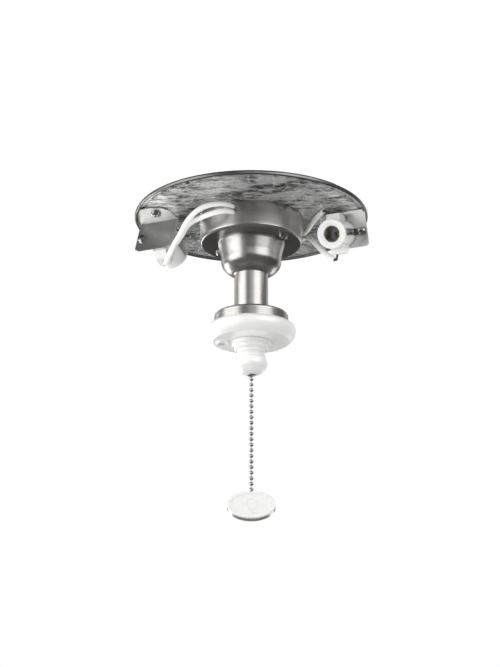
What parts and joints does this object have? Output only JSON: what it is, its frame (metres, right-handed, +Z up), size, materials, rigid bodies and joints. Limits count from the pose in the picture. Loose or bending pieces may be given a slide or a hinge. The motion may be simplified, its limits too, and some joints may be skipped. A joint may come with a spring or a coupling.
{
  "type": "pull chain light fitter",
  "caption": "Ceiling fan light fitter: round foil-lined pan with candle-lamp sockets, a stem with a pull chain switch, a white bowl ring and finial, and a bead chain with an oval fob.",
  "frame": {"origin": "centre of the pan's top face, where the fitter meets the fan", "axes": "+Z up along the threaded nipple; the sockets are out to +X and -X; the fob's face is to -Y"},
  "size_m": [0.178, 0.178, 0.2495],
  "materials": {
    "zinc_steel": "zinc plated",
    "bracket_steel": "bright plated sheet",
    "brushed_nickel": "brushed nickel plate",
    "white_enamel": "gloss white",
    "porcelain": "glazed porcelain",
    "chain_nickel": "nickel plated",
    "brass": "plain",
    "phenolic": "moulded",
    "foil": "crinkled foil",
    "fibre_pad": "glass fibre mat",
    "woven_sleeve": "braided glass fibre",
    "wire_nut_plastic": "moulded",
    "wire_cover": "smooth"
  },
  "bodies": {
    "fitter": {"bowl_ring": "white_enamel", "bracket_left": "bracket_steel", "bracket_right": "bracket_steel", "bracket_screws": "zinc_steel", "chain_bushing": "white_enamel", "chain_eyelet": "chain_nickel", "contact_blades": "brass", "cup": "brushed_nickel", "drum": "brushed_nickel", "drum_posts": "zinc_steel", "drum_screws": "zinc_steel", "finial": "white_enamel", "foil_facing": "foil", "insulation_pad": "fibre_pad", "lock_washers": "zinc_steel", "pan": "zinc_steel", "pan_nipple": "zinc_steel", "pipe_nuts": "zinc_steel", "return_spring": "zinc_steel", "sleeve_left_lower": "woven_sleeve", "sleeve_left_upper": "woven_sleeve", "sleeve_right_lower": "woven_sleeve", "sleeve_right_upper": "woven_sleeve", "socket_body_left": "porcelain", "socket_body_right": "porcelain", "socket_contact_left": "brass", "socket_contact_right": "brass", "socket_shell_left": "zinc_steel", "socket_shell_right": "zinc_steel", "socket_strap_left": "zinc_steel", "socket_strap_right": "zinc_steel", "stem_rod": "zinc_steel", "stem_tube": "brushed_nickel", "strap_nuts": "zinc_steel", "strap_screws": "zinc_steel", "switch_bridge": "zinc_steel", "switch_cap": "brushed_nickel", "switch_case": "phenolic", "switch_cover": "phenolic", "switch_lead_lamp": "wire_cover", "switch_lead_supply": "wire_cover", "switch_neck": "brass", "switch_nut": "brass", "wire_left_lower": "wire_cover", "wire_left_upper": "wire_cover", "wire_nuts": "wire_nut_plastic", "wire_right_lower": "wire_cover", "wire_right_upper": "wire_cover"},
    "plunger": {"pull_rod": "zinc_steel", "cross_pin": "zinc_steel", "chain_in_finial": "chain_nickel"},
    "drive": {"drive_sleeve": "phenolic"},
    "rotor": {"contact_rotor": "phenolic", "contact_bars": "brass"},
    "chain_pivot": {"pivot_bead": "chain_nickel"},
    "chain": {"chain_below": "chain_nickel"},
    "fob_swivel": {"caught_bead": "chain_nickel"},
    "fob": {"fob_front": "white_enamel", "fob_back": "chain_nickel"}
  },
  "joints": [
    {"name": "chain_pull", "type": "slide", "parent": "fitter", "child": "plunger", "axis": [0, 0, -1], "range_m": [0, 0.0065], "stiffness_N_per_m": 900, "springref_m": -0.004, "deforming": ["return_spring"]},
    {"name": "sleeve_turn", "type": "hinge", "parent": "fitter", "child": "drive", "pos_m": [0, 0, -0.0927], "axis": [0, 0, 1], "range_deg": [0, 90.5]},
    {"name": "rotor_step", "type": "hinge", "parent": "fitter", "child": "rotor", "pos_m": [0, 0, -0.0927], "axis": [0, 0, 1], "continuous": true},
    {"name": "chain_swing_side", "type": "hinge", "parent": "plunger", "child": "chain_pivot", "pos_m": [0, 0, -0.1297], "axis": [0, 1, 0], "range_deg": [-45, 45]},
    {"name": "chain_swing_front", "type": "hinge", "parent": "chain_pivot", "child": "chain", "pos_m": [0, 0, -0.1297], "axis": [1, 0, 0], "range_deg": [-45, 45]},
    {"name": "fob_spin", "type": "hinge", "parent": "chain", "child": "fob_swivel", "pos_m": [0, 0, -0.21748], "axis": [0, 0, 1], "continuous": true},
    {"name": "fob_tip", "type": "hinge", "parent": "fob_swivel", "child": "fob", "pos_m": [0, 0, -0.21748], "axis": [1, 0, 0], "range_deg": [-20, 20]}
  ],
  "couplings": [
    {"joint": "sleeve_turn", "follows": "chain_pull", "rad_per_m": 241.66}
  ]
}
